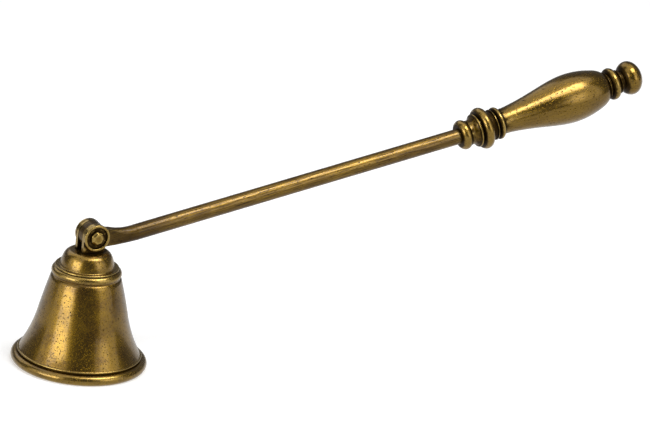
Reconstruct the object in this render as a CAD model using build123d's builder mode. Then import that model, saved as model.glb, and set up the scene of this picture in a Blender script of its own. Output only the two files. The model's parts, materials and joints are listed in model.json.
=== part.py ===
from build123d import *
from math import acos, atan2, degrees, sqrt
import os

# Hinged candle snuffer in antique brass: a turned bell whose crown carries a clevis,
# a rod with a flattened eye that swings in the clevis, and a turned handle stacked on the rod's tang.
# Millimetres. The origin is the middle of the bell's mouth on the plane that the rim rests on.
# +Z runs up the bell's axis, +X points towards the handle, and the bell swings about Y at the pin.

# Bell: mouth
bell_foot_radius = 18.8  # outside of the wall where it meets the ridge
rim_overhang = 2.3  # reach of the mouth bead beyond the wall's foot
rim_bead_tube = 1.6
rim_flat_cut = 0.2  # depth of the flat that the bead rests on
rim_flat_inset = 0.9  # width of the rest flat inside the middle of the bead
mouth_chamfer = 0.5
ridge_step = 0.5  # reach of the thin ridge beyond the wall's foot
ridge_width = 0.55
line_depth = 0.35  # depth of the turned lines
line_width = 0.45

# Bell: wall and shoulder
wall = 1.6
flare_height = 12.25  # from the wall's foot up to the waist
flare_narrowing = 4.75  # radius lost over the flare
flare_sag = 0.5  # hollow of the flare
neck_rise = 12.15  # from the waist up to the line under the shoulder bead
neck_narrowing = 3.1
shoulder_bead_tube = 1.35
shoulder_setback = 0.05  # shoulder bead's crest behind the neck's radius
shoulder_line_width = 0.35
top_thickness = 2.4
ceiling_fillet = 1.5

# Crown: dome, clevis and stud
lip_thickness = 0.55
lip_overhang = 0.4  # lip's edge beyond the flat of the shoulder
lip_ledge = 1.2  # lip's reach beyond the dome's cove
dome_cove = 0.35
dome_height = 4.9  # from the lip's top up to the dome's flat top
dome_flank_height = 3.1  # straight-sided part of the dome
dome_flank_lean = 0.95  # radius lost over the flank
dome_flank_swell = 0.12
dome_round = 1.9  # radius lost over the rounded edge
ear_radius = 4.15
ear_thickness = 1.3
ear_root = 1.0  # depth of the clevis block in the dome
pin_rise = 5.0  # pin's middle above the dome's top
clevis_offset = 0.85  # pin's middle off the bell's axis, towards the handle
stud_radius = 2.0
stud_proud = 0.6  # stud's end beyond the nut
stud_clearance = 0.05
nut_across_flats = 7.0
nut_height = 3.2
nut_chamfer = 2.0  # rise of the cone that cuts the corners, over half a width across flats
crown_washer_radius = 4.5
crown_washer_thickness = 0.8

# Hinge
eye_thickness = 2.9
eye_radius = 4.1
eye_side_clearance = 0.08
pin_radius = 1.5
pin_press_clearance = 0.02  # pin in ears and washers
pin_running_clearance = 0.06  # pin in the eye
pin_head_radius = 2.35
pin_head_sides = 7
pin_head_height = 0.75  # steep lower facets
pin_head_taper = 10  # degrees
pin_crown_height = 0.55  # flat upper facets
pin_crown_taper = 45  # degrees
washer_rim = 0.85  # thickness of the dished washers at the rim
washer_floor = 0.3
washer_rim_width = 0.8
washer_rim_round = 0.25
washer_overhang = 0.1  # washer's edge beyond the ears

# Rod
rest_pitch = 11.8  # degrees, rod above the rim's plane at rest
rod_radius = 2.5
rod_length = 128.75  # from the pin to the shoulder that the handle sits on
crank_drop = 3.35  # rod's axis below the eye's middle
flat_length = 6.0  # from the pin to the end of the flat neck
flat_height = 5.4
flat_drop = 2.2  # middle of the neck's end below the eye's middle
flat_corner = 0.2
eye_shoulder_angle = 33  # degrees, where the neck's hollow top leaves the eye
blend_middle = 4.2  # from the flat's end to the middle of the forged blend
blend_middle_thickness = 4.1
blend_middle_height = 4.8
blend_middle_corner = 1.6
blend_middle_drop = 3.1
blend_length = 8.5  # from the flat's end to the full round
blend_flat = 0.03  # what is left of the flats at the full round

# Handle
handle_cant = 2.5  # degrees, bend of the tang up from the rod
tang_radius = 1.5
tang_clearance = 0.05
tang_tip_chamfer = 0.4
bead_length = 3.3
bead_radius = 4.8
ferrule_front_radius = 4.0
ferrule_front_land = 0.4
front_cove_length = 2.2
front_cove_sag = 0.4
ferrule_ridge_width = 0.7
ferrule_ridge_radius = 5.4
ferrule_groove_width = 0.5
ferrule_groove_radius = 4.6
big_bead_length = 3.2
big_bead_radius = 6.75
rear_cove_length = 1.7
rear_cove_radius = 4.5
rear_cove_sag = 0.25
rear_ridge_width = 0.6
rear_ridge_radius = 5.0
ferrule_end_land = 0.6
ferrule_end_radius = 3.95
ring_length = 1.7
ring_radius = 5.25
grip_land = 0.6
grip_land_radius = 3.8
grip_front_radius = 4.1
grip_throat_radius = 4.4
grip_throat = 4.6  # from the grip's front to its throat
grip_flank = 14.2  # from the grip's front to the middle of its flank
grip_flank_radius = 6.05
grip_belly = 26.0  # from the grip's front to its greatest radius
grip_belly_radius = 7.9
grip_heel = 35.7  # from the grip's front to the turn of its heel
grip_heel_radius = 6.4
grip_length = 39.1
grip_end_radius = 4.3
grip_end_slope = 0.7  # length gained for each millimetre of radius lost at the grip's end
collar_ridge_width = 0.6
collar_ridge_radius = 4.55
collar_groove_width = 0.5
collar_groove_radius = 3.9
collar_bead_length = 2.8
collar_bead_radius = 5.25
collar_end_land = 0.5
collar_end_radius = 3.4
finial_ridge_width = 0.9
finial_ridge_radius = 3.9
finial_neck_length = 0.7
finial_neck_radius = 3.2
ball_radius = 5.5
ball_half_length = 3.9
finial_thread_depth = 4.6
finial_thread_gap = 0.3

# Bell: heights and radii that follow
rim_bead_middle = bell_foot_radius + rim_overhang - rim_bead_tube
rim_bead_height = rim_bead_tube - rim_flat_cut
rim_flat_reach = sqrt(rim_bead_tube**2 - rim_bead_height**2)
rim_bead_top = rim_bead_height + rim_bead_tube
mouth_radius = rim_bead_middle - rim_flat_inset
ridge_radius = bell_foot_radius + ridge_step
ridge_base = rim_bead_top + line_width
foot_height = ridge_base + ridge_width
waist_radius = bell_foot_radius - flare_narrowing
waist_height = foot_height + flare_height
neck_radius = waist_radius - neck_narrowing
neck_height = waist_height + neck_rise
shoulder_middle = neck_radius - shoulder_setback - shoulder_bead_tube
shoulder_bead_start = shoulder_bead_tube * sqrt(0.5)  # the bead starts 45 degrees below its crest
shoulder_line_radius = shoulder_middle + shoulder_bead_start
shoulder_height = neck_height + 2 * shoulder_line_width + shoulder_bead_start
shoulder_top = shoulder_height + shoulder_bead_tube
ceiling = shoulder_top - top_thickness
stud_hole_radius = stud_radius + stud_clearance

# Crown and hinge: heights and radii that follow
lip_radius = shoulder_middle + lip_overhang
lip_top = shoulder_top + lip_thickness
dome_foot_radius = lip_radius - lip_ledge - dome_cove
dome_foot_height = lip_top + dome_cove
dome_edge_radius = dome_foot_radius - dome_flank_lean
dome_edge_height = dome_foot_height + dome_flank_height
dome_flat_radius = dome_edge_radius - dome_round
dome_top = lip_top + dome_height
pin_height = dome_top + pin_rise
slot_half = eye_thickness / 2 + eye_side_clearance
clevis_half = slot_half + ear_thickness
nut_top = ceiling - crown_washer_thickness
nut_base = nut_top - nut_height
stud_end = nut_base - stud_proud
washer_radius = ear_radius + washer_overhang
pin_hole_radius = pin_radius + pin_press_clearance

# Planes of the hinge, the rod and the handle
rod_direction = Vector(1, 0, 0).rotate(Axis.Y, -rest_pitch)
handle_direction = rod_direction.rotate(Axis.Y, -handle_cant)
pin_plane = Plane(origin=(clevis_offset, 0, pin_height), x_dir=(1, 0, 0), z_dir=(0, -1, 0))
swing_plane = Plane(origin=pin_plane.origin, x_dir=rod_direction, z_dir=(0, -1, 0))

# Ears' edge towards the handle: from a foot as far out as the one behind it, straight up to the round top
front_foot = Vector(ear_radius - 2 * clevis_offset, -pin_rise - ear_root)
flank_angle = degrees(atan2(front_foot.Y, front_foot.X) + acos(ear_radius / front_foot.length))
front_flank = Vector(ear_radius, 0).rotate(Axis.Z, flank_angle)


def rod_section(reach, drop):
    """Plane square to the rod, at a reach from the pin and a drop below it."""
    middle = swing_plane.from_local_coords((reach, -drop, 0))
    return Plane(origin=middle, x_dir=(0, 1, 0), z_dir=rod_direction)


collar_middle = rod_section(rod_length, crank_drop).origin
handle_plane = Plane(origin=collar_middle, x_dir=handle_direction, z_dir=(0, -1, 0))
handle_axis = Axis(collar_middle, handle_direction)
shoulder_plane = Plane(origin=collar_middle, x_dir=(0, 1, 0), z_dir=handle_direction)
bore = tang_radius + tang_clearance


def handle_station(reach):
    """Profile plane of a turned handle piece that starts at a reach along the tang."""
    start = handle_plane.from_local_coords((reach, 0, 0))
    return Plane(origin=start, x_dir=handle_direction, z_dir=(0, -1, 0))


def half_round(start, width, crest):
    """Outline of a half-round bead: where it starts along the tang, its width and its crest's radius."""
    foot = crest - width / 2
    return ThreePointArc((start, foot), (start + width / 2, crest), (start + width, foot))


# Stations of the handle's pieces along the tang
front_ridge_start = ferrule_front_land + front_cove_length
ferrule_groove_start = front_ridge_start + ferrule_ridge_width
big_bead_start = ferrule_groove_start + ferrule_groove_width
rear_cove_start = big_bead_start + big_bead_length
rear_ridge_start = rear_cove_start + rear_cove_length
ferrule_land_start = rear_ridge_start + rear_ridge_width
ferrule_length = ferrule_land_start + ferrule_end_land
collar_bead_start = collar_ridge_width + collar_groove_width
collar_length = collar_bead_start + collar_bead_length + collar_end_land
ferrule_start = bead_length
ring_start = ferrule_start + ferrule_length
grip_start = ring_start + ring_length
collar_start = grip_start + grip_length
finial_start = collar_start + collar_length
tang_length = finial_start + finial_thread_depth


# Bell
def wall_curve(inset, top_radius, top_height):
    """Flare and neck of the bell's wall, at an inset from its outside."""
    foot = (bell_foot_radius - inset, foot_height)
    waist = (waist_radius - inset, waist_height)
    flare = SagittaArc(foot, waist, flare_sag)
    neck = TangentArc(waist, (top_radius, top_height), tangent=flare % 1)
    return flare, neck


with BuildPart() as bell:
    with BuildSketch(Plane.XZ):
        with BuildLine():
            rim_bead = ThreePointArc(
                (rim_bead_middle + rim_flat_reach, 0),
                (rim_bead_middle + rim_bead_tube, rim_bead_height),
                (rim_bead_middle, rim_bead_top),
            )
            Polyline(
                rim_bead @ 1,
                (ridge_radius - line_depth, rim_bead_top),
                (ridge_radius - line_depth, ridge_base),
                (ridge_radius - ridge_width / 2, ridge_base),
            )
            ridge = ThreePointArc(
                (ridge_radius - ridge_width / 2, ridge_base),
                (ridge_radius, ridge_base + ridge_width / 2),
                (ridge_radius - ridge_width / 2, foot_height),
            )
            Line(ridge @ 1, (bell_foot_radius, foot_height))
            wall_curve(0, neck_radius, neck_height)
            shoulder_bead = ThreePointArc(
                (shoulder_line_radius, shoulder_height - shoulder_bead_start),
                (shoulder_middle + shoulder_bead_tube, shoulder_height),
                (shoulder_middle, shoulder_top),
            )
            Polyline(
                (neck_radius, neck_height),
                (shoulder_line_radius, neck_height + shoulder_line_width),
                shoulder_bead @ 0,
            )
            inner_flare, inner_neck = wall_curve(wall, neck_radius - wall, ceiling)
            Polyline(
                shoulder_bead @ 1,
                (stud_hole_radius, shoulder_top),
                (stud_hole_radius, ceiling),
                inner_neck @ 1,
            )
            Polyline(
                inner_flare @ 0,
                (mouth_radius - mouth_chamfer, mouth_chamfer),
                (mouth_radius, 0),
                rim_bead @ 0,
            )
        make_face()
    revolve(axis=Axis.Z)
    ceiling_rim = bell.edges().filter_by_position(Axis.Z, ceiling, ceiling).sort_by(SortBy.RADIUS)[-1]
    fillet(ceiling_rim, radius=ceiling_fillet)

# Crown: lip, dome, clevis block with its slot, and the stud
with BuildPart() as crown:
    with BuildSketch(Plane.XZ):
        with BuildLine():
            lip_edge = ThreePointArc(
                (lip_radius - lip_thickness / 2, shoulder_top),
                (lip_radius, shoulder_top + lip_thickness / 2),
                (lip_radius - lip_thickness / 2, lip_top),
            )
            Line(lip_edge @ 1, (dome_foot_radius + dome_cove, lip_top))
            RadiusArc(
                (dome_foot_radius + dome_cove, lip_top), (dome_foot_radius, dome_foot_height), dome_cove
            )
            flank = SagittaArc(
                (dome_foot_radius, dome_foot_height), (dome_edge_radius, dome_edge_height), -dome_flank_swell
            )
            round_over = TangentArc(flank @ 1, (dome_flat_radius, dome_top), tangent=flank % 1)
            Polyline(
                round_over @ 1,
                (0, dome_top),
                (0, stud_end),
                (stud_radius, stud_end),
                (stud_radius, shoulder_top),
                lip_edge @ 0,
            )
        make_face()
    revolve(axis=Axis.Z)
    with BuildSketch(pin_plane):
        Circle(ear_radius)
        with BuildLine():
            Polyline(
                (0, 0), (-ear_radius, 0), (-ear_radius, front_foot.Y), front_foot, front_flank, close=True
            )
        make_face()
    extrude(amount=clevis_half, both=True)
    with BuildSketch(pin_plane):
        with Locations((0, -pin_rise)):
            Rectangle(4 * ear_radius, 2 * (pin_rise + ear_radius), align=(Align.CENTER, Align.MIN))
    extrude(amount=slot_half, both=True, mode=Mode.SUBTRACT)
    with BuildSketch(pin_plane):
        Circle(pin_hole_radius)
    extrude(amount=clevis_half, both=True, mode=Mode.SUBTRACT)

# Washer and nut that clamp the crown from inside the bell
with BuildPart() as crown_washer:
    with BuildSketch(Plane.XY.offset(nut_top)):
        Circle(crown_washer_radius)
        Circle(stud_hole_radius, mode=Mode.SUBTRACT)
    extrude(amount=crown_washer_thickness)

with BuildPart() as crown_nut:
    with BuildSketch(Plane.XY.offset(nut_base)):
        RegularPolygon(nut_across_flats / 2, 6, major_radius=False)
    extrude(amount=nut_height)
    with BuildSketch(Plane.XZ):
        with BuildLine():
            Polyline(
                (nut_across_flats / 2, nut_base),
                (nut_across_flats, nut_base),
                (nut_across_flats, nut_base + nut_chamfer),
                close=True,
            )
        make_face()
    revolve(axis=Axis.Z, mode=Mode.SUBTRACT)
    with BuildSketch(Plane.XY.offset(nut_base)):
        Circle(stud_hole_radius)
    extrude(amount=nut_height, mode=Mode.SUBTRACT)


# Hinge pin: a rivet with a faceted peened head on each side
def clevis_face(side, reach):
    """Plane square to the pin, facing outwards, on one side of the clevis."""
    return Plane(origin=(clevis_offset, side * reach, pin_height), x_dir=(1, 0, 0), z_dir=(0, side, 0))


head_seat = clevis_half + washer_floor
with BuildPart() as hinge_pin:
    with BuildSketch(clevis_face(1, -head_seat)):
        Circle(pin_radius)
    extrude(amount=2 * head_seat)
    for side in (-1, 1):
        with BuildSketch(clevis_face(side, head_seat)):
            RegularPolygon(pin_head_radius, pin_head_sides)
        extrude(amount=pin_head_height, taper=pin_head_taper)
        head_top = hinge_pin.faces().sort_by(Axis((0, 0, 0), (0, side, 0)))[-1]
        extrude(head_top, amount=pin_crown_height, taper=pin_crown_taper)

# Dished washers under the pin's heads
with BuildPart() as pin_washers:
    for side in (-1, 1):
        with BuildSketch(clevis_face(side, clevis_half)):
            Circle(washer_radius)
        extrude(amount=washer_rim)
        with BuildSketch(clevis_face(side, clevis_half + washer_floor)):
            Circle(washer_radius - washer_rim_width)
        extrude(amount=washer_rim, mode=Mode.SUBTRACT)
        with BuildSketch(clevis_face(side, clevis_half)):
            Circle(pin_hole_radius)
        extrude(amount=washer_rim, mode=Mode.SUBTRACT)
        rim_top = pin_washers.faces().sort_by(Axis((0, 0, 0), (0, side, 0)))[-1]
        fillet(rim_top.edges(), radius=washer_rim_round)

# Rod: eye and flat neck, forged blend, round shaft, and the bent tang under the handle
flat_top = flat_height / 2 - flat_drop
flat_bottom = -flat_height / 2 - flat_drop
eye_shoulder = Vector(eye_radius, 0).rotate(Axis.Z, eye_shoulder_angle)
neck_heel = Vector(flat_length, flat_bottom)
heel_angle = degrees(atan2(neck_heel.Y, neck_heel.X) - acos(eye_radius / neck_heel.length))
eye_heel = Vector(eye_radius, 0).rotate(Axis.Z, heel_angle)  # start of the neck's straight underside
with BuildPart() as rod:
    with BuildSketch(swing_plane):
        Circle(eye_radius)
        with BuildLine():
            neck_top = TangentArc(
                eye_shoulder, (flat_length, flat_top), tangent=eye_shoulder.rotate(Axis.Z, -90)
            )
            Polyline(neck_top @ 1, neck_heel, eye_heel, (0, 0), eye_shoulder)
        make_face()
    extrude(amount=eye_thickness / 2, both=True)
    eye_outline = rod.faces().filter_by(Axis.Y).edges()
    neck_end = eye_outline.filter_by(Axis(swing_plane.origin, swing_plane.y_dir))
    fillet(eye_outline - neck_end, radius=flat_corner)
    neck_face = rod.faces().sort_by(Axis(swing_plane.origin, rod_direction))[-1]
    with BuildSketch(rod_section(flat_length + blend_middle, blend_middle_drop), mode=Mode.PRIVATE) as middle:
        RectangleRounded(blend_middle_thickness, blend_middle_height, blend_middle_corner)
    with BuildSketch(rod_section(flat_length + blend_length, crank_drop), mode=Mode.PRIVATE) as full_round:
        RectangleRounded(2 * rod_radius, 2 * rod_radius, rod_radius - blend_flat)
    loft(sections=[neck_face, middle.sketch, full_round.sketch])
    with BuildSketch(rod_section(flat_length + blend_length, crank_drop)):
        Circle(rod_radius)
    extrude(amount=rod_length + rod_radius - flat_length - blend_length)
    split(bisect_by=shoulder_plane, keep=Keep.BOTTOM)
    with BuildSketch(shoulder_plane):
        Circle(tang_radius)
    extrude(amount=tang_length)
    chamfer(rod.faces().sort_by(handle_axis)[-1].edges(), length=tang_tip_chamfer)
    with BuildSketch(swing_plane):
        Circle(pin_radius + pin_running_clearance)
    extrude(amount=eye_thickness / 2, both=True, mode=Mode.SUBTRACT)

# Front bead
with BuildPart() as front_bead:
    with BuildSketch(handle_plane):
        with BuildLine():
            bead = half_round(0, bead_length, bead_radius)
            Polyline(bead @ 1, (bead_length, bore), (0, bore), bead @ 0)
        make_face()
    revolve(axis=handle_axis)

# Ferrule: land, cove, thin ridge, groove, big bead, rear cove and rear ridge
with BuildPart() as ferrule:
    with BuildSketch(handle_station(ferrule_start)):
        with BuildLine():
            front_ridge = half_round(front_ridge_start, ferrule_ridge_width, ferrule_ridge_radius)
            front_cove = SagittaArc(
                (ferrule_front_land, ferrule_front_radius), front_ridge @ 0, -front_cove_sag
            )
            big_bead = half_round(big_bead_start, big_bead_length, big_bead_radius)
            Polyline(
                front_ridge @ 1,
                (ferrule_groove_start, ferrule_groove_radius),
                (big_bead_start, ferrule_groove_radius),
                big_bead @ 0,
            )
            rear_cove = SagittaArc(
                (rear_cove_start, rear_cove_radius), (rear_ridge_start, rear_cove_radius), -rear_cove_sag
            )
            Line(big_bead @ 1, rear_cove @ 0)
            rear_ridge = half_round(rear_ridge_start, rear_ridge_width, rear_ridge_radius)
            Line(rear_cove @ 1, rear_ridge @ 0)
            Polyline(
                rear_ridge @ 1,
                (ferrule_land_start, ferrule_end_radius),
                (ferrule_length, ferrule_end_radius),
                (ferrule_length, bore),
                (0, bore),
                (0, ferrule_front_radius),
                front_cove @ 0,
            )
        make_face()
    revolve(axis=handle_axis)

# Neck ring
with BuildPart() as neck_ring:
    with BuildSketch(handle_station(ring_start)):
        with BuildLine():
            ring = half_round(0, ring_length, ring_radius)
            Polyline(ring @ 1, (ring_length, bore), (0, bore), ring @ 0)
        make_face()
    revolve(axis=handle_axis)

# Grip
with BuildPart() as grip:
    with BuildSketch(handle_station(grip_start)):
        with BuildLine():
            swell = Spline(
                (grip_land, grip_front_radius),
                (grip_throat, grip_throat_radius),
                (grip_flank, grip_flank_radius),
                (grip_belly, grip_belly_radius),
                (grip_heel, grip_heel_radius),
                (grip_length, grip_end_radius),
                tangents=((1, 0), (grip_end_slope, -1)),
            )
            Polyline(
                swell @ 1,
                (grip_length, bore),
                (0, bore),
                (0, grip_land_radius),
                (grip_land, grip_land_radius),
                swell @ 0,
            )
        make_face()
    revolve(axis=handle_axis)

# Rear collar: thin ridge, groove, bead and end land
with BuildPart() as rear_collar:
    with BuildSketch(handle_station(collar_start)):
        with BuildLine():
            collar_ridge = half_round(0, collar_ridge_width, collar_ridge_radius)
            collar_bead = half_round(collar_bead_start, collar_bead_length, collar_bead_radius)
            Polyline(
                collar_ridge @ 1,
                (collar_ridge_width, collar_groove_radius),
                (collar_bead_start, collar_groove_radius),
                collar_bead @ 0,
            )
            Polyline(
                collar_bead @ 1,
                (collar_length - collar_end_land, collar_end_radius),
                (collar_length, collar_end_radius),
                (collar_length, bore),
                (0, bore),
                collar_ridge @ 0,
            )
        make_face()
    revolve(axis=handle_axis)

# Ball finial: neck ridge, neck and a flattened ball, threaded on the tang's end
finial_ball_start = finial_ridge_width + finial_neck_length
ball_setback = ball_half_length * sqrt(1 - (finial_neck_radius / ball_radius) ** 2)
ball_middle = finial_ball_start + ball_setback
with BuildPart() as ball_finial:
    with BuildSketch(handle_station(finial_start)):
        with BuildLine():
            neck_ridge = half_round(0, finial_ridge_width, finial_ridge_radius)
            Polyline(
                neck_ridge @ 1,
                (finial_ridge_width, finial_neck_radius),
                (finial_ball_start, finial_neck_radius),
                (finial_ball_start, 0),
                (0, 0),
                neck_ridge @ 0,
            )
        make_face()
        with Locations((ball_middle, 0)):
            Ellipse(ball_half_length, ball_radius)
        with Locations((finial_ball_start, 0)):
            Rectangle(
                4 * ball_half_length, 2 * ball_radius, align=(Align.CENTER, Align.MAX), mode=Mode.SUBTRACT
            )
    revolve(axis=handle_axis)
    with BuildSketch(Plane(handle_station(finial_start).origin, x_dir=(0, 1, 0), z_dir=handle_direction)):
        Circle(bore)
    extrude(amount=finial_thread_depth + finial_thread_gap, mode=Mode.SUBTRACT)

# Each piece in its own file
pieces = {
    "bell": bell,
    "crown": crown,
    "crown_washer": crown_washer,
    "crown_nut": crown_nut,
    "hinge_pin": hinge_pin,
    "pin_washers": pin_washers,
    "rod": rod,
    "front_bead": front_bead,
    "ferrule": ferrule,
    "neck_ring": neck_ring,
    "grip": grip,
    "rear_collar": rear_collar,
    "ball_finial": ball_finial,
}
os.makedirs("parts", exist_ok=True)
for name, piece in pieces.items():
    piece.part.label = name
    export_step(piece.part, f"parts/{name}.step")
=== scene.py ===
import json
from math import cos, pi, radians, sin

import bmesh
import bpy
from mathutils import Matrix, Vector


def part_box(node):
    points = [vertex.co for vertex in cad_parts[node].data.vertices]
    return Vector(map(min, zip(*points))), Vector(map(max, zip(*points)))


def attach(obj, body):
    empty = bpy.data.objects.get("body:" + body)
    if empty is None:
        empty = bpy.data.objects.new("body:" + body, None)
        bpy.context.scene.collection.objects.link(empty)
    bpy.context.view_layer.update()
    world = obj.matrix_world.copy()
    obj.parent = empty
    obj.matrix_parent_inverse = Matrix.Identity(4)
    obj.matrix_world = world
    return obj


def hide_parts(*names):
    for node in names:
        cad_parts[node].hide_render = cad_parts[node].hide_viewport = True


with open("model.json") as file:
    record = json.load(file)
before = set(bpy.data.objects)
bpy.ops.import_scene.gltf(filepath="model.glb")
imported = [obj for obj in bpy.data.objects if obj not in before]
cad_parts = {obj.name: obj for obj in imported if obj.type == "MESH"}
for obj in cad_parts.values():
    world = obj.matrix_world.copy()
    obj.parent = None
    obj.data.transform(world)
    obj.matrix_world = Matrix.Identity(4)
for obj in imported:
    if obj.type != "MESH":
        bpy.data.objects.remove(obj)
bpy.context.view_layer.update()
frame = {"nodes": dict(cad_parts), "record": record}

# A hinged candle snuffer in antique brass. Metres, +Z up, the middle of the bell's mouth at the
# origin. Every CAD piece gets a merged and smoothed copy that carries two masks, "crevice" and
# "crest": the brass finishes read them for the dark patina, with painted shade, in the grooves and
# hollows, and for the polish, with a painted highlight, on the beads.

# Sizes of the dressed meshes
merge_distance = 2e-6
cut_tolerance = 1e-7
slice_length = 1.2e-3  # long stretches are cut this short, so that the masks have points to sit on
hinge_zone = 10e-3  # round the hinge the edges are split finer
hinge_edge = 0.6e-3
hinge_rounds = 4
crisp_angle = radians(38)  # edges sharper than this stay crisp

# Rays that find the grooves and the crests
ray_count = 32
slope_seed = 1000  # keeps the draws of slopes apart from the draws of sideways directions
groove_reach = 4.0e-3
# the longer rays spread the painted shade further out from the rings
wide_groove_reach = 7.0e-3  # on the turned handle
groove_lift = 0.06e-3
groove_slopes = (0.05, 2.0)
crest_reach = 1.7e-3
crest_lift = -0.04e-3
crest_slopes = (-0.4, -0.22)
mask_blur = 2

# Directions of the turned handle and the drawn rod
rod_pitch = radians(11.8)
handle_pitch = radians(14.3)

# Camera: the place of one point of the rod in the 650 x 433 picture, and the angles of view
picture_width = 650
picture_height = 433
focal_pixels = 5348
pixels_per_metre = 3184
camera_azimuth = radians(-30.24)
camera_elevation = radians(19.61)
camera_roll = radians(6.25)
aim_point = Vector((0.085, 0.0, 0.045))
aim_pixel = (334.0, 205.05)
sensor_width = 36.0
far_clip = 20


# Small helpers for node trees
def feed(tree, socket, value):
    """Links a socket to an output, or sets it to a plain value."""
    if isinstance(value, bpy.types.NodeSocket):
        tree.links.new(value, socket)
    else:
        socket.default_value = value


def place(tree, kind, inputs=None, **settings):
    """Adds a node, with its settings first and then its inputs by name or number."""
    node = tree.nodes.new(kind)
    for name, value in settings.items():
        setattr(node, name, value)
    for key, value in (inputs or {}).items():
        feed(tree, node.inputs[key], value)
    return node


def compute(tree, operation, *values):
    """One step of arithmetic."""
    node = place(tree, "ShaderNodeMath", dict(enumerate(values)), operation=operation)
    return node.outputs[0]


def vector_math(tree, operation, *values):
    """One step of vector arithmetic."""
    node = place(tree, "ShaderNodeVectorMath", dict(enumerate(values)), operation=operation)
    return node.outputs["Vector"]


def measure(tree, operation, *values):
    """A number from two vectors."""
    node = place(tree, "ShaderNodeVectorMath", dict(enumerate(values)), operation=operation)
    return node.outputs["Value"]


def stretch(tree, vector, factor):
    """A vector times a number."""
    node = place(tree, "ShaderNodeVectorMath", {0: vector, "Scale": factor}, operation="SCALE")
    return node.outputs["Vector"]


def ease(tree, value, low, high):
    """0 at low, 1 at high, with a smooth step between; low may be the larger one."""
    inputs = {"Value": value, "From Min": low, "From Max": high}
    node = place(tree, "ShaderNodeMapRange", inputs, interpolation_type="SMOOTHSTEP")
    return node.outputs["Result"]


def between(tree, factor, first, second):
    """A colour between two colours."""
    inputs = {"Factor": factor, 6: first, 7: second}
    return place(tree, "ShaderNodeMix", inputs, data_type="RGBA").outputs[2]


def noise(tree, vector, scale, detail, roughness=0.5):
    """Outputs of a noise: the first is a number between 0 and 1."""
    inputs = {"Vector": vector, "Scale": scale, "Detail": detail, "Roughness": roughness}
    return place(tree, "ShaderNodeTexNoise", inputs).outputs


def new_group(name, kind, inputs, outputs):
    """An empty node group with named sockets, its input node and its output node."""
    tree = bpy.data.node_groups.new(name, kind)
    for label, socket_type in inputs.items():
        tree.interface.new_socket(label, in_out="INPUT", socket_type=socket_type)
    for label, socket_type in outputs.items():
        tree.interface.new_socket(label, in_out="OUTPUT", socket_type=socket_type)
    return tree, tree.nodes.new("NodeGroupInput"), tree.nodes.new("NodeGroupOutput")


# Geometry nodes: masks from short rays
def make_ray_share():
    """Share of short rays from each point that meet the snuffer, near ones counting most."""
    inputs = {
        "Target": "NodeSocketGeometry",
        "Reach": "NodeSocketFloat",
        "Lift": "NodeSocketFloat",
        "Lowest Slope": "NodeSocketFloat",
        "Highest Slope": "NodeSocketFloat",
        "Rays": "NodeSocketInt",
    }
    outputs = {"Share": "NodeSocketFloat"}
    tree, start, end = new_group("Ray Share", "GeometryNodeTree", inputs, outputs)
    normal = tree.nodes.new("GeometryNodeInputNormal").outputs[0]
    position = tree.nodes.new("GeometryNodeInputPosition").outputs[0]
    origin = vector_math(tree, "ADD", position, stretch(tree, normal, start.outputs["Lift"]))

    loop_in = tree.nodes.new("GeometryNodeRepeatInput")
    loop_out = tree.nodes.new("GeometryNodeRepeatOutput")
    loop_in.pair_with_output(loop_out)
    loop_out.repeat_items.clear()
    loop_out.repeat_items.new("FLOAT", "Met")
    loop_out.repeat_items.new("INT", "Turn")
    feed(tree, loop_in.inputs["Iterations"], start.outputs["Rays"])
    turn = loop_in.outputs["Turn"]
    scatter = place(tree, "FunctionNodeRandomValue", {"Seed": turn}, data_type="FLOAT_VECTOR")
    feed(tree, scatter.inputs[0], (-1.0, -1.0, -1.0))
    feed(tree, scatter.inputs[1], (1.0, 1.0, 1.0))
    across = vector_math(tree, "CROSS_PRODUCT", normal, scatter.outputs[0])
    across = vector_math(tree, "NORMALIZE", across)
    seed = compute(tree, "ADD", turn, slope_seed)
    slope = place(tree, "FunctionNodeRandomValue", {"Seed": seed}, data_type="FLOAT")
    feed(tree, slope.inputs[2], start.outputs["Lowest Slope"])
    feed(tree, slope.inputs[3], start.outputs["Highest Slope"])
    inputs = {
        "Target Geometry": start.outputs["Target"],
        "Source Position": origin,
        "Ray Direction": vector_math(tree, "ADD", across, stretch(tree, normal, slope.outputs[1])),
        "Ray Length": start.outputs["Reach"],
    }
    ray = place(tree, "GeometryNodeRaycast", inputs)
    distance = compute(tree, "DIVIDE", ray.outputs["Hit Distance"], start.outputs["Reach"])
    nearness = compute(tree, "SUBTRACT", 1.0, distance)
    met = compute(tree, "MULTIPLY", ray.outputs["Is Hit"], nearness)
    feed(tree, loop_out.inputs["Met"], compute(tree, "ADD", loop_in.outputs["Met"], met))
    feed(tree, loop_out.inputs["Turn"], compute(tree, "ADD", turn, 1))
    share = compute(tree, "DIVIDE", loop_out.outputs["Met"], start.outputs["Rays"])
    feed(tree, end.inputs["Share"], share)
    return tree


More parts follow.
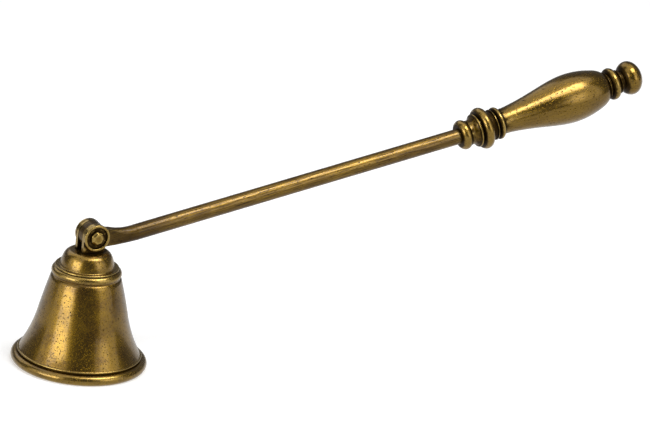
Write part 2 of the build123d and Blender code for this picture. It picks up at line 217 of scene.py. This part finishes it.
def make_brass_dressing(ray_share):
    """Smooth shading with crisp edges, the two masks and the finish of one brass piece."""
    inputs = {
        "Piece": "NodeSocketGeometry",
        "Snuffer": "NodeSocketObject",
        "Finish": "NodeSocketMaterial",
        "Crisp Angle": "NodeSocketFloat",
        "Groove Reach": "NodeSocketFloat",
        "Crest Reach": "NodeSocketFloat",
        "Rays": "NodeSocketInt",
        "Blur": "NodeSocketInt",
    }
    outputs = {"Piece": "NodeSocketGeometry"}
    tree, start, end = new_group("Brass Dressing", "GeometryNodeTree", inputs, outputs)
    fold = tree.nodes.new("GeometryNodeInputMeshEdgeAngle").outputs["Unsigned Angle"]
    inputs = {0: fold, 1: start.outputs["Crisp Angle"]}
    crisp = place(tree, "FunctionNodeCompare", inputs, operation="GREATER_THAN").outputs[0]
    inputs = {"Mesh": start.outputs["Piece"], "Selection": crisp}
    parted = place(tree, "GeometryNodeSplitEdges", inputs).outputs[0]
    inputs = {"Geometry": parted}
    piece = place(tree, "GeometryNodeSetShadeSmooth", inputs, domain="FACE").outputs[0]
    inputs = {"Object": start.outputs["Snuffer"]}
    target = place(tree, "GeometryNodeObjectInfo", inputs).outputs["Geometry"]
    masks = {
        "crevice": ("Groove Reach", groove_lift, groove_slopes),
        "crest": ("Crest Reach", crest_lift, crest_slopes),
    }
    for name, (reach, lift, slopes) in masks.items():
        share = tree.nodes.new("GeometryNodeGroup")
        share.node_tree = ray_share
        feed(tree, share.inputs["Target"], target)
        feed(tree, share.inputs["Reach"], start.outputs[reach])
        feed(tree, share.inputs["Lift"], lift)
        feed(tree, share.inputs["Lowest Slope"], slopes[0])
        feed(tree, share.inputs["Highest Slope"], slopes[1])
        feed(tree, share.inputs["Rays"], start.outputs["Rays"])
        inputs = {"Value": share.outputs["Share"], "Iterations": start.outputs["Blur"]}
        even = place(tree, "GeometryNodeBlurAttribute", inputs, data_type="FLOAT").outputs[0]
        inputs = {"Geometry": piece, "Name": name, "Value": even}
        kind = {"data_type": "FLOAT", "domain": "POINT"}
        piece = place(tree, "GeometryNodeStoreNamedAttribute", inputs, **kind).outputs[0]
    real = place(tree, "GeometryNodeRealizeInstances", {"Geometry": piece}).outputs[0]
    inputs = {"Geometry": real, "Material": start.outputs["Finish"]}
    feed(tree, end.inputs["Piece"], place(tree, "GeometryNodeSetMaterial", inputs).outputs[0])
    return tree


# Shader groups that the brass finishes share. Their places are in millimetres.
def make_axis_place():
    """Places on a turned or drawn piece: along its axis, round it, and with the axis drawn out."""
    inputs = {
        "Place": "NodeSocketVector",
        "Point": "NodeSocketVector",
        "Direction": "NodeSocketVector",
        "Side": "NodeSocketVector",
        "Round": "NodeSocketFloat",
        "Draw": "NodeSocketFloat",
    }
    outputs = {
        "Along": "NodeSocketFloat",
        "Around": "NodeSocketFloat",
        "Drawn": "NodeSocketVector",
    }
    tree, start, end = new_group("Axis Place", "ShaderNodeTree", inputs, outputs)
    direction = start.outputs["Direction"]
    side = start.outputs["Side"]
    offset = vector_math(tree, "SUBTRACT", start.outputs["Place"], start.outputs["Point"])
    third = vector_math(tree, "CROSS_PRODUCT", direction, side)
    along = measure(tree, "DOT_PRODUCT", offset, direction)
    sideways_part = measure(tree, "DOT_PRODUCT", offset, side)
    third_part = measure(tree, "DOT_PRODUCT", offset, third)
    angle = compute(tree, "ARCTAN2", sideways_part, third_part)
    taken = compute(tree, "MULTIPLY", along, start.outputs["Draw"])
    gathered = stretch(tree, direction, taken)
    feed(tree, end.inputs["Along"], along)
    feed(tree, end.inputs["Around"], compute(tree, "MULTIPLY", angle, start.outputs["Round"]))
    feed(tree, end.inputs["Drawn"], vector_math(tree, "SUBTRACT", start.outputs["Place"], gathered))
    return tree


def make_cast_pits():
    """Small dark pits left by the casting: round ones of chance sizes, and fine ragged specks."""
    wobble_scale = 2.4
    wobble_reach = 0.8
    smallest_pit = 0.3  # as a share of the largest
    pit_edge = (1.0, 0.4)
    speck_scale = 2.1
    speck_edge = (0.585, 0.70)
    inputs = {
        "Place": "NodeSocketVector",
        "Spacing": "NodeSocketFloat",
        "Size": "NodeSocketFloat",
        "Share": "NodeSocketFloat",
        "Specks": "NodeSocketFloat",
    }
    outputs = {"Pits": "NodeSocketFloat"}
    tree, start, end = new_group("Cast Pits", "ShaderNodeTree", inputs, outputs)
    where = start.outputs["Place"]
    frequency = compute(tree, "DIVIDE", 1.0, start.outputs["Spacing"])
    wobble = noise(tree, where, wobble_scale, detail=2.0)["Color"]
    swing = vector_math(tree, "SUBTRACT", wobble, (0.5, 0.5, 0.5))
    bent = vector_math(tree, "ADD", where, stretch(tree, swing, wobble_reach))
    cells = place(tree, "ShaderNodeTexVoronoi", {"Vector": bent, "Scale": frequency}).outputs
    draw = place(tree, "ShaderNodeSeparateColor", {0: cells["Color"]}).outputs
    chosen = compute(tree, "LESS_THAN", draw["Red"], start.outputs["Share"])
    grown = compute(tree, "MULTIPLY_ADD", draw["Green"], 1.0 - smallest_pit, smallest_pit)
    radius = compute(tree, "MULTIPLY", grown, start.outputs["Size"])
    away = compute(tree, "DIVIDE", cells["Distance"], radius)
    hollow = compute(tree, "MULTIPLY", ease(tree, away, *pit_edge), chosen)
    fine = noise(tree, where, speck_scale, detail=2.0, roughness=0.6)[0]
    specks = compute(tree, "MULTIPLY", ease(tree, fine, *speck_edge), start.outputs["Specks"])
    feed(tree, end.inputs["Pits"], compute(tree, "MAXIMUM", hollow, specks))
    return tree


def make_patina_and_shade():
    """Where the dark patina stays, with painted shade in the hollows, darker towards the hinge, and
    where handling has polished the brass, with a painted highlight on the crests, broken up by
    noise.
    """
    broad_scale = 0.16
    fine_scale = 1.1
    raggedness = 0.16
    near_hinge_edge = (1.0, 0.35)  # as shares of its reach
    crest_edge = (0.05, 0.30)
    least_worn = 0.45
    worn_by_noise = 0.7
    fine_part = 0.3  # of the brightness; the rest comes from the broad noise
    bright_edge = (0.32, 0.62)
    inputs = {
        "Place": "NodeSocketVector",
        "Spot": "NodeSocketVector",
        "Crevice": "NodeSocketFloat",
        "Crest": "NodeSocketFloat",
        "First Dark": "NodeSocketFloat",
        "Full Dark": "NodeSocketFloat",
        "Hinge Dark Middle": "NodeSocketVector",
        "Hinge Dark Reach": "NodeSocketFloat",
        "Hinge Dark": "NodeSocketFloat",
    }
    outputs = {
        "Patina And Shade": "NodeSocketFloat",
        "Polish And Sheen": "NodeSocketFloat",
        "Bright": "NodeSocketFloat",
    }
    tree, start, end = new_group("Patina And Shade", "ShaderNodeTree", inputs, outputs)
    where = start.outputs["Place"]
    broad = noise(tree, where, broad_scale, detail=3.0)[0]
    fine = noise(tree, where, fine_scale, detail=4.0)[0]
    swing = compute(tree, "SUBTRACT", fine, 0.5)
    # patina in the hollows, with painted shade where the short rays meet the snuffer
    ragged = compute(tree, "MULTIPLY_ADD", swing, raggedness, start.outputs["Crevice"])
    groove = ease(tree, ragged, start.outputs["First Dark"], start.outputs["Full Dark"])
    # darker towards the hinge, fading out over its reach
    distance = measure(tree, "DISTANCE", start.outputs["Spot"], start.outputs["Hinge Dark Middle"])
    far = compute(tree, "DIVIDE", distance, start.outputs["Hinge Dark Reach"])
    even_near_hinge_dark = compute(tree, "MULTIPLY", ease(tree, far, *near_hinge_edge), start.outputs["Hinge Dark"])
    near_hinge_dark = compute(tree, "MULTIPLY", even_near_hinge_dark, compute(tree, "ADD", fine, 0.5))
    patina_and_shade = compute(tree, "MAXIMUM", groove, near_hinge_dark)
    # crests take the polish of wear, together with a painted highlight
    crest = ease(tree, start.outputs["Crest"], *crest_edge)
    bare = compute(tree, "SUBTRACT", 1.0, patina_and_shade)
    worn = compute(tree, "MULTIPLY_ADD", fine, worn_by_noise, least_worn)
    polish_and_sheen = compute(tree, "MULTIPLY", compute(tree, "MULTIPLY", crest, bare), worn)
    broad_share = compute(tree, "MULTIPLY", broad, 1.0 - fine_part)
    bright = compute(tree, "MULTIPLY_ADD", fine, fine_part, broad_share)
    feed(tree, end.inputs["Patina And Shade"], patina_and_shade)
    feed(tree, end.inputs["Polish And Sheen"], polish_and_sheen)
    feed(tree, end.inputs["Bright"], ease(tree, bright, *bright_edge))
    return tree


def make_tool_lines():
    """Fine lines left by the tool, close together one way and long the other way."""
    change_along_line = 0.12  # for each millimetre
    inputs = {
        "Across": "NodeSocketFloat",
        "Lengthwise": "NodeSocketFloat",
        "Spacing": "NodeSocketFloat",
    }
    outputs = {"Lines": "NodeSocketFloat"}
    tree, start, end = new_group("Tool Lines", "ShaderNodeTree", inputs, outputs)
    spread = compute(tree, "DIVIDE", start.outputs["Across"], start.outputs["Spacing"])
    slow = compute(tree, "MULTIPLY", start.outputs["Lengthwise"], change_along_line)
    spot = place(tree, "ShaderNodeCombineXYZ", {"X": spread, "Y": slow}).outputs[0]
    feed(tree, end.inputs["Lines"], noise(tree, spot, scale=1.0, detail=2.0)[0])
    return tree


shader_groups = {
    "axis": make_axis_place(),
    "pits": make_cast_pits(),
    "patina_and_shade": make_patina_and_shade(),
    "lines": make_tool_lines(),
}


def use_group(tree, group, inputs):
    """One placed copy of a shader group."""
    node = tree.nodes.new("ShaderNodeGroup")
    node.node_tree = shader_groups[group]
    for name, value in inputs.items():
        feed(tree, node.inputs[name], value)
    return node.outputs


# Colours of the brass (linear)
brass_body = (0.275, 0.157, 0.010, 1.0)
brass_tarnished = (0.140, 0.074, 0.008, 1.0)
# polished brass, also the painted highlight on the crests
brass_polish_and_sheen = (0.500, 0.335, 0.075, 1.0)
# patina brown, also the painted shade in the hollows and the darkening towards the hinge
patina_and_shade_brown = (0.018, 0.0090, 0.0028, 1.0)
pit_brown = (0.040, 0.019, 0.005, 1.0)

# Marks on the brass, in millimetres or as shares
millimetres = 1000.0
pit_spacing = 0.70
pit_size = 0.29
pit_share = 0.6
pit_depth = 0.8
grain_scale = 2.1
dull_edge = (0.50, 0.30)
dull_depth = 0.45
turned_line_spacing = 0.22
drawn_line_spacing = 0.35
line_radius = 6.0  # turns an angle round the axis into a length
streak_edge = (0.56, 0.40)
streak_cover = 0.6

# Gloss and relief of the brass
coat_roughness = 0.14
coat_weight = 0.66
coat_lost = 0.63  # where patina, pits or streaks cover the brass
bare_roughness = 0.19
grain_roughness = 0.14
polish_roughness = -0.10
cover_roughness = 0.25
pit_height = -1.0
grain_height = 0.34
line_height = 0.22
bump_strength = 0.35
bump_distance = 0.00012


# The lathe axes of the bell and the handle, the axis of the rod and that of the pin
def middle(node):
    """The middle of a CAD node's box."""
    low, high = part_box(node)
    return (low + high) / 2


def raised(pitch):
    """Direction away from the bell, raised by an angle."""
    return Vector((cos(pitch), 0, sin(pitch)))


hinge_middle = middle("hinge_pin")
sideways = Vector((0, 1, 0))
bell_axis = (Vector((0, 0, 0)), Vector((0, 0, 1)), sideways)
handle_axis = (middle("front_bead"), raised(handle_pitch), sideways)
rod_axis = (middle("front_bead"), raised(rod_pitch), sideways)
pin_axis = (hinge_middle, sideways, Vector((1, 0, 0)))


def aged_brass(
    name,
    axis,
    drawn=0.0,
    first_dark=0.14,
    full_dark=0.42,
    depth=0.93,
    # how much darker towards the hinge, and the reach of that in millimetres
    near_hinge_dark=0.0,
    near_hinge_reach=14.0,
    specks=1.0,
    dullest=0.0,
    rubbed=0.0,
    smooth=0.0,
    streaks=0.0,
):
    """Antique brass, turned round its axis, or drawn along it with its marks drawn out."""
    material = bpy.data.materials.new(name)
    material.use_nodes = True
    tree = material.node_tree
    shader = tree.nodes["Principled BSDF"]
    spot = stretch(tree, tree.nodes.new("ShaderNodeTexCoord").outputs["Object"], millimetres)
    point, direction, side = axis
    inputs = {
        "Place": spot,
        "Point": tuple(point * millimetres),
        "Direction": tuple(direction),
        "Side": tuple(side),
        "Round": line_radius,
        "Draw": drawn,
    }
    turned = use_group(tree, "axis", inputs)
    inputs = {
        "Place": turned["Drawn"],
        "Spot": spot,
        "Crevice": place(tree, "ShaderNodeAttribute", attribute_name="crevice").outputs["Fac"],
        "Crest": place(tree, "ShaderNodeAttribute", attribute_name="crest").outputs["Fac"],
        "First Dark": first_dark,
        "Full Dark": full_dark,
        "Hinge Dark Middle": tuple(hinge_middle * millimetres),
        "Hinge Dark Reach": near_hinge_reach,
        "Hinge Dark": near_hinge_dark,
    }
    wear = use_group(tree, "patina_and_shade", inputs)
    inputs = {
        "Place": turned["Drawn"],
        "Spacing": pit_spacing,
        "Size": pit_size,
        "Share": pit_share,
        "Specks": specks,
    }
    pits = use_group(tree, "pits", inputs)["Pits"]
    inputs = {
        "Across": turned["Around"] if drawn else turned["Along"],
        "Lengthwise": turned["Along"] if drawn else turned["Around"],
        "Spacing": drawn_line_spacing if drawn else turned_line_spacing,
    }
    lines = use_group(tree, "lines", inputs)["Lines"]
    grain = noise(tree, turned["Drawn"], grain_scale, detail=3.0)[0]

    bright = compute(tree, "MULTIPLY_ADD", wear["Bright"], 1.0 - dullest, dullest)
    polish_and_sheen = compute(tree, "ADD", wear["Polish And Sheen"], rubbed)
    dull = compute(tree, "MULTIPLY", ease(tree, grain, *dull_edge), dull_depth)
    streak = compute(tree, "MULTIPLY", ease(tree, lines, *streak_edge), streaks)
    body = between(tree, bright, brass_tarnished, brass_body)
    # polish of wear, with a painted highlight on the crests
    body = between(tree, polish_and_sheen, body, brass_polish_and_sheen)
    body = between(tree, dull, body, brass_tarnished)
    body = between(tree, streak, body, pit_brown)
    body = between(tree, compute(tree, "MULTIPLY", pits, pit_depth), body, pit_brown)
    # patina brown, with painted shade in the hollows and darker towards the hinge
    body = between(tree, compute(tree, "MULTIPLY", wear["Patina And Shade"], depth), body, patina_and_shade_brown)
    feed(tree, shader.inputs["Base Color"], body)

    covered = compute(tree, "MAXIMUM", wear["Patina And Shade"], pits)
    covered = compute(tree, "MAXIMUM", covered, compute(tree, "MULTIPLY", streak, streak_cover))
    coat = compute(tree, "MULTIPLY_ADD", covered, -coat_lost, coat_weight)
    feed(tree, shader.inputs["Coat Weight"], coat)
    roughness = compute(tree, "MULTIPLY_ADD", grain, grain_roughness, bare_roughness - smooth)
    roughness = compute(tree, "MULTIPLY_ADD", polish_and_sheen, polish_roughness, roughness)
    roughness = compute(tree, "MULTIPLY_ADD", covered, cover_roughness, roughness)
    feed(tree, shader.inputs["Roughness"], roughness)
    height = compute(tree, "MULTIPLY", grain, grain_height)
    height = compute(tree, "MULTIPLY_ADD", pits, pit_height, height)
    height = compute(tree, "MULTIPLY_ADD", lines, line_height, height)
    inputs = {"Height": height, "Strength": bump_strength, "Distance": bump_distance}
    feed(tree, shader.inputs["Normal"], place(tree, "ShaderNodeBump", inputs).outputs[0])
    shader.inputs["Metallic"].default_value = 1.0
    shader.inputs["Coat Roughness"].default_value = coat_roughness
    return material


# Finishes and the CAD nodes that have them, by slot
slots = {
    "bell_brass": (
        aged_brass("bell finish", bell_axis, first_dark=0.20, full_dark=0.70, depth=0.78),
        ["bell"],
    ),
    "crown_brass": (
        aged_brass(
            "crown finish",
            bell_axis,
            first_dark=0.10,
            full_dark=0.40,
            # darker towards the hinge
            near_hinge_dark=0.12,
            near_hinge_reach=8.5,
            rubbed=0.08,
        ),
        ["crown", "pin_washers"],
    ),
    "hidden_brass": (
        aged_brass("hidden finish", bell_axis),
        ["crown_washer", "crown_nut"],
    ),
    "pin_brass": (
        aged_brass("pin finish", pin_axis, first_dark=0.10, full_dark=0.40, specks=0.5),
        ["hinge_pin"],
    ),
    "rod_brass": (
        aged_brass(
            "rod finish",
            rod_axis,
            drawn=0.72,
            first_dark=0.10,
            full_dark=0.45,
            # darker towards the hinge, over a long stretch of the rod
            near_hinge_dark=0.55,
            near_hinge_reach=34.0,
            smooth=-0.06,
            streaks=0.8,
        ),
        ["rod"],
    ),
    "handle_brass": (
        aged_brass(
            "handle finish",
            handle_axis,
            first_dark=0.0,
            full_dark=0.12,
            specks=0.8,
            dullest=0.5,
        ),
        ["front_bead", "ferrule", "neck_ring", "rear_collar"],
    ),
    "grip_brass": (
        aged_brass(
            "grip finish",
            handle_axis,
            drawn=0.5,
            first_dark=0.0,
            full_dark=0.12,
            dullest=0.5,
            rubbed=0.06,
            smooth=0.05,
            streaks=0.2,
        ),
        ["grip", "ball_finial"],
    ),
}
# the handle pieces use the longer rays, for broader painted shade next to their rings
wide_groove_slots = ("handle_brass", "grip_brass")


# Dressed copies of the CAD pieces
def merged_copy(name, sources):
    """One mesh of some others, with their loose triangles merged."""
    shape = bmesh.new()
    for source in sources:
        shape.from_mesh(source)
    bmesh.ops.remove_doubles(shape, verts=shape.verts, dist=merge_distance)
    mesh = bpy.data.meshes.new(name)
    shape.to_mesh(mesh)
    shape.free()
    return mesh


def coarse_at_hinge(edge):
    """Whether an edge near the hinge is still too long."""
    centre = (edge.verts[0].co + edge.verts[1].co) / 2
    return (centre - hinge_middle).length < hinge_zone and edge.calc_length() > hinge_edge


def slice_across(mesh, axis):
    """Cuts a mesh across its axis into short stretches; the shape stays as it is."""
    point, direction, _ = axis
    shape = bmesh.new()
    shape.from_mesh(mesh)
    heights = [(vert.co - point).dot(direction) for vert in shape.verts]
    first_step = int(min(heights) / slice_length)
    last_step = int(max(heights) / slice_length)
    for step in range(first_step, last_step + 1):
        cut = point + direction * step * slice_length
        everything = shape.verts[:] + shape.edges[:] + shape.faces[:]
        bmesh.ops.bisect_plane(
            shape, geom=everything, dist=cut_tolerance, plane_co=cut, plane_no=direction
        )
    bmesh.ops.triangulate(shape, faces=shape.faces[:])
    for _ in range(hinge_rounds):
        split = [edge for edge in shape.edges if coarse_at_hinge(edge)]
        bmesh.ops.subdivide_edges(shape, edges=split, cuts=1)
        bmesh.ops.triangulate(shape, faces=[face for face in shape.faces if len(face.verts) > 3])
    shape.to_mesh(mesh)
    shape.free()


def show(name, mesh):
    """A new object in the scene."""
    piece = bpy.data.objects.new(name, mesh)
    bpy.context.scene.collection.objects.link(piece)
    return piece


def set_inputs(modifier, values):
    """Sets a geometry nodes modifier's inputs by their names."""
    for item in modifier.node_group.interface.items_tree:
        if item.item_type == "SOCKET" and item.in_out == "INPUT" and item.name in values:
            modifier[item.identifier] = values[item.name]


brass_dressing = make_brass_dressing(make_ray_share())
bodies = frame["record"]["behaviour"]["bodies"]
body_of = {node: body for body, nodes in bodies.items() for node in nodes}
axis_of = {"bell": bell_axis, "handle": handle_axis}
meshes = {}
for node, body in body_of.items():
    meshes[node] = merged_copy(f"brass_{node}", [frame["nodes"][node].data])
    slice_across(meshes[node], axis_of[body])
whole_snuffer = show("whole_snuffer", merged_copy("whole_snuffer", meshes.values()))


def dress(node, finish, slot):
    """Replaces one CAD node by its dressed copy, on the same body."""
    piece = show(f"brass_{node}", meshes[node])
    dressing = piece.modifiers.new("dressing", "NODES")
    dressing.node_group = brass_dressing
    values = {
        "Snuffer": whole_snuffer,
        "Finish": finish,
        "Crisp Angle": crisp_angle,
        "Groove Reach": wide_groove_reach if slot in wide_groove_slots else groove_reach,
        "Crest Reach": crest_reach,
        "Rays": ray_count,
        "Blur": mask_blur,
    }
    set_inputs(dressing, values)
    bpy.context.view_layer.update()
    evaluated = piece.evaluated_get(bpy.context.evaluated_depsgraph_get())
    finished = bpy.data.meshes.new_from_object(evaluated)
    piece.modifiers.remove(dressing)
    piece.data = finished
    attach(piece, body_of[node])
    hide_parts(node)


for slot, (finish, nodes) in slots.items():
    for node in nodes:
        dress(node, finish, slot)
bpy.data.objects.remove(whole_snuffer)


# Camera
def camera_axes():
    """Right, up and backwards of the camera."""
    level_part = cos(camera_elevation)
    back = Vector(
        (
            sin(camera_azimuth) * level_part,
            -cos(camera_azimuth) * level_part,
            sin(camera_elevation),
        )
    )
    level = Vector((cos(camera_azimuth), sin(camera_azimuth), 0))
    upright = back.cross(level)
    right = level * cos(camera_roll) + upright * sin(camera_roll)
    up = upright * cos(camera_roll) - level * sin(camera_roll)
    return right, up, back


right, up, back = camera_axes()
aim_right = (aim_pixel[0] - picture_width / 2) / pixels_per_metre
aim_up = (picture_height / 2 - aim_pixel[1]) / pixels_per_metre
camera_distance = focal_pixels / pixels_per_metre
lens = bpy.data.cameras.new("camera")
lens.sensor_width = sensor_width
lens.lens = focal_pixels * sensor_width / picture_width
lens.clip_end = far_clip
camera = bpy.data.objects.new("camera", lens)
camera_place = aim_point - right * aim_right - up * aim_up + back * camera_distance
camera_turn = Matrix((right, up, back)).transposed().to_4x4()
camera.matrix_world = Matrix.Translation(camera_place) @ camera_turn
bpy.context.scene.collection.objects.link(camera)
bpy.context.scene.camera = camera

# Floor and world: white to the camera and in reflections
scene = bpy.context.scene
scene.view_settings.view_transform = "Standard"
studio_white = (1.0, 1.0, 1.0, 1.0)
paper_grey = (0.8, 0.8, 0.8, 1.0)
world_light = 0.6  # as a share of the white that is seen
floor_half = 6.0
floor_lift = 0.34  # brings the floor up to white where it is seen


def seen_rays(tree):
    """1 for rays that see the background: from the camera, off gloss and through glass."""
    path = tree.nodes.new("ShaderNodeLightPath").outputs
    glossy = compute(tree, "MAXIMUM", path["Is Glossy Ray"], path["Is Transmission Ray"])
    return compute(tree, "MAXIMUM", path["Is Camera Ray"], glossy)


def studio_world():
    """A white world that lights the scene less than it is seen."""
    world = bpy.data.worlds.new("studio")
    world.use_nodes = True
    tree = world.node_tree
    background = tree.nodes["Background"]
    background.inputs["Color"].default_value = studio_white
    seen = seen_rays(tree)
    strength = compute(tree, "MULTIPLY_ADD", seen, 1.0 - world_light, world_light)
    feed(tree, background.inputs["Strength"], strength)
    scene.world = world


def square(half):
    """Corners of a level square round the origin."""
    return [(x * half, y * half) for x, y in ((-1, -1), (1, -1), (1, 1), (-1, 1))]


def studio_floor():
    """A wide sheet of plain pale paper."""
    mesh = bpy.data.meshes.new("floor")
    mesh.from_pydata([(x, y, 0) for x, y in square(floor_half)], [], [(0, 1, 2, 3)])
    floor = show("floor", mesh)
    paint = bpy.data.materials.new("floor_paper")
    paint.use_nodes = True
    tree = paint.node_tree
    paper = tree.nodes["Principled BSDF"]
    paper.inputs["Base Color"].default_value = paper_grey
    paper.inputs["Roughness"].default_value = 0.9
    paper.inputs["Specular IOR Level"].default_value = 0.0
    paper.inputs["Emission Color"].default_value = studio_white
    glow = compute(tree, "MULTIPLY", seen_rays(tree), floor_lift)
    feed(tree, paper.inputs["Emission Strength"], glow)
    mesh.materials.append(paint)


studio_world()
studio_floor()

# Soft boxes, and cards that show only in reflections
flag_level = 0.15
flag_distance = 1.3
flag_steps = 12
flag_rows = 4
card_level = 0.70
card_half = 0.9
card_lift = 2e-4


def studio_direction(azimuth, elevation):
    """Direction from the snuffer, with the azimuth counted to the right from the camera's."""
    turn = camera_azimuth + radians(azimuth)
    rise = radians(elevation)
    return Vector((sin(turn) * cos(rise), -cos(turn) * cos(rise), sin(rise)))


def soft_box(name, azimuth, elevation, distance, width, height, radiance, target=aim_point):
    """A lamp of even brightness, turned to the snuffer or to one place on it."""
    light = bpy.data.lights.new(name, "AREA")
    light.shape = "RECTANGLE"
    light.size = width
    light.size_y = height
    light.energy = radiance * pi * width * height
    lamp = bpy.data.objects.new(name, light)
    direction = studio_direction(azimuth, elevation)
    lamp_turn = direction.to_track_quat("Z", "Y").to_matrix().to_4x4()
    lamp.matrix_world = Matrix.Translation(target + direction * distance) @ lamp_turn
    lamp.visible_camera = False
    scene.collection.objects.link(lamp)


def felt(name, level):
    """A plain card of one brightness."""
    material = bpy.data.materials.new(name)
    material.use_nodes = True
    tree = material.node_tree
    tree.nodes.remove(tree.nodes["Principled BSDF"])
    glow = place(tree, "ShaderNodeEmission", {"Color": studio_white, "Strength": level})
    feed(tree, tree.nodes["Material Output"].inputs["Surface"], glow.outputs[0])
    return material


def studio_card(name, paint, points, faces):
    """A card that only reflections show."""
    mesh = bpy.data.meshes.new(name)
    mesh.from_pydata(points, [], faces)
    mesh.materials.append(paint)
    card = show(name, mesh)
    card.visible_camera = False
    card.visible_diffuse = False
    card.visible_transmission = False
    card.visible_shadow = False


def dark_flag(name, paint, azimuths, elevations):
    """A curved dark card between two azimuths and two elevations."""
    points = []
    for step in range(flag_steps + 1):
        azimuth = azimuths[0] + (azimuths[1] - azimuths[0]) * step / flag_steps
        for row in range(flag_rows + 1):
            elevation = elevations[0] + (elevations[1] - elevations[0]) * row / flag_rows
            points.append(aim_point + studio_direction(azimuth, elevation) * flag_distance)
    faces = []
    for step in range(flag_steps):
        for row in range(flag_rows):
            corner = step * (flag_rows + 1) + row
            beside = corner + flag_rows + 1
            faces.append((corner, corner + 1, beside + 1, beside))
    studio_card(name, paint, points, faces)


def floor_card(name, paint):
    """A grey card on the floor round the snuffer."""
    points = [(aim_point.x + x, aim_point.y + y, card_lift) for x, y in square(card_half)]
    studio_card(name, paint, points, [(0, 1, 2, 3)])


flag_felt = felt("flag_felt", flag_level)
grey_card = felt("grey_card", card_level)
soft_box(
    "left_box", azimuth=-46, elevation=11.5, distance=1.0, width=0.55, height=0.48, radiance=3.5
)
soft_box(
    "right_box", azimuth=48, elevation=73, distance=1.0, width=0.58, height=0.26, radiance=2.6
)
soft_box(
    "grip_box",
    azimuth=44,
    elevation=67,
    distance=0.45,
    width=0.30,
    height=0.20,
    radiance=5.4,
    target=middle("grip"),
)
soft_box(
    "low_right_box", azimuth=53, elevation=21, distance=1.0, width=0.34, height=0.44, radiance=1.1
)
flags = {  # the azimuths and the elevations that each one covers
    "front_flag": ((-24, 34), (-4, 62)),
    "low_front_flag": ((34, 45), (-4, 9)),
    "right_flag": ((88, 180), (-4, 55)),
    "back_flag": ((-180, -162), (-4, 55)),
    "low_left_flag": ((-162, -112), (-4, 22)),
    "left_flag": ((-112, -84), (-4, 55)),
}
for name, (azimuths, elevations) in flags.items():
    dark_flag(name, flag_felt, azimuths, elevations)
floor_card("floor_card", grey_card)
